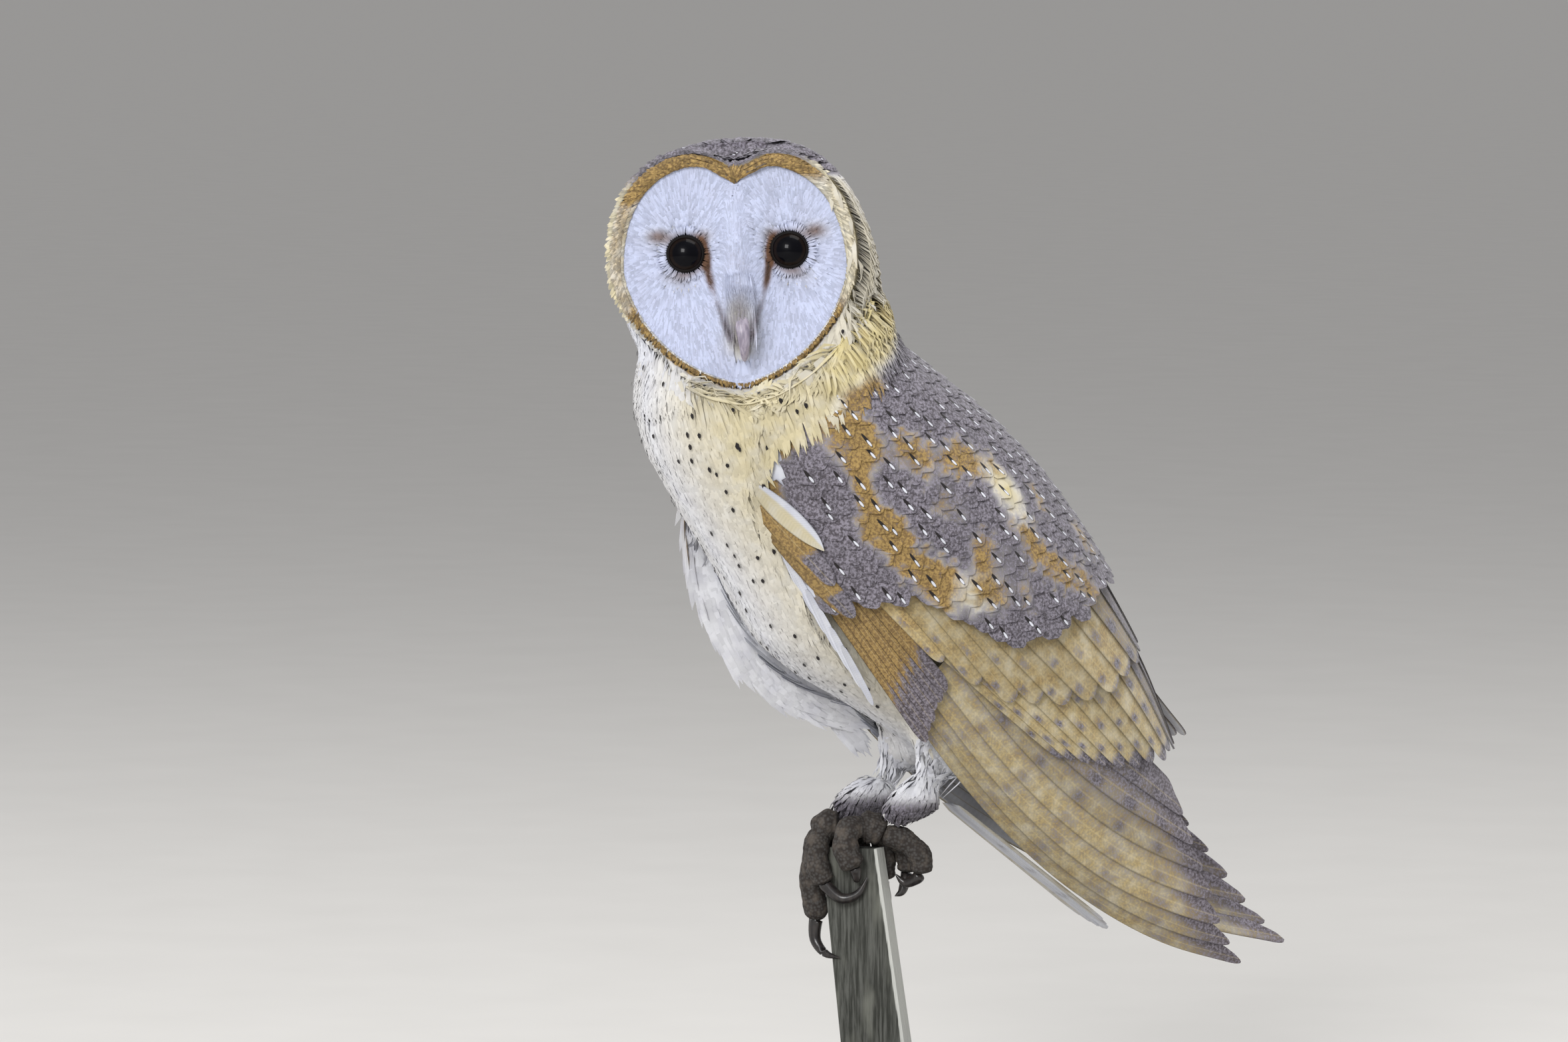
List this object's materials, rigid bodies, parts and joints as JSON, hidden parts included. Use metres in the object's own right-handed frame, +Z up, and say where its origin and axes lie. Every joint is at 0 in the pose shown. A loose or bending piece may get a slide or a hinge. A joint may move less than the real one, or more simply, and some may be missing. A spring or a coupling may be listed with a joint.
{
  "type": "life-size barn owl model on a stake perch",
  "caption": "Life-size still model of a barn owl gripping the end of a slanting stake, head turned to its left, on a round display stand.",
  "frame": {"origin": "centre of the stand base's underside", "axes": "+Z up; -Y is the way the owl's body faces; +X is the owl's own left"},
  "size_m": [0.183, 0.2861, 0.3824],
  "materials": {
    "crown_feathers": "soft grey feathers with fine darker vermiculation over golden buff, and tiny black and white dots",
    "face_feathers": "silky white feathers that radiate from the eyes, with a rust-brown smudge beside the bill",
    "ruff_feathers": "short stiff cream and gold feathers with small dark-brown tips",
    "body_feathers": "soft cream-white to yellow-buff body feathers with sparse small dark dots",
    "leg_feathers": "short white fluffy feathers",
    "covert_feathers": "golden-buff feathers veiled with fine grey vermiculation, with black and white drop marks at the tips",
    "flight_feathers": "golden-buff vanes with mottled grey bars, pale inner vanes and fine pale shafts",
    "bill_horn": "pale pinkish ivory horn, smooth and faintly glossy",
    "eye": "near-black eye with a wet clear surface",
    "toe_skin": "greyish-brown scaly skin",
    "claw_horn": "dark brown-black horn, smooth",
    "stake_bamboo": "weathered grey split bamboo with long fine fibres",
    "stand_paint": "dark grey satin paint"
  },
  "bodies": {
    "root": {"bill_lower": "bill_horn", "bill_upper": "bill_horn", "claw_left_1": "claw_horn", "claw_left_2": "claw_horn", "claw_left_3": "claw_horn", "claw_left_4": "claw_horn", "claw_right_1": "claw_horn", "claw_right_2": "claw_horn", "claw_right_3": "claw_horn", "claw_right_4": "claw_horn", "eye_left": "eye", "eye_right": "eye", "facial_disc": "face_feathers", "foot_left": "toe_skin", "foot_right": "toe_skin", "head": "crown_feathers", "neck": "body_feathers", "perch_stake": "stake_bamboo", "ruff": "ruff_feathers", "stand_base": "stand_paint", "stand_rod": "stand_paint", "tail": "flight_feathers", "tarsus_left": "leg_feathers", "tarsus_right": "leg_feathers", "thigh_left": "leg_feathers", "thigh_right": "leg_feathers", "trunk": "body_feathers", "wing_left": "covert_feathers", "wing_left_alula": "flight_feathers", "wing_left_greater_coverts": "covert_feathers", "wing_left_primaries": "flight_feathers", "wing_left_primary_coverts": "covert_feathers", "wing_left_secondaries": "flight_feathers", "wing_right": "covert_feathers", "wing_right_alula": "flight_feathers", "wing_right_greater_coverts": "covert_feathers", "wing_right_primaries": "flight_feathers", "wing_right_primary_coverts": "covert_feathers", "wing_right_secondaries": "flight_feathers"}
  },
  "joints": []
}
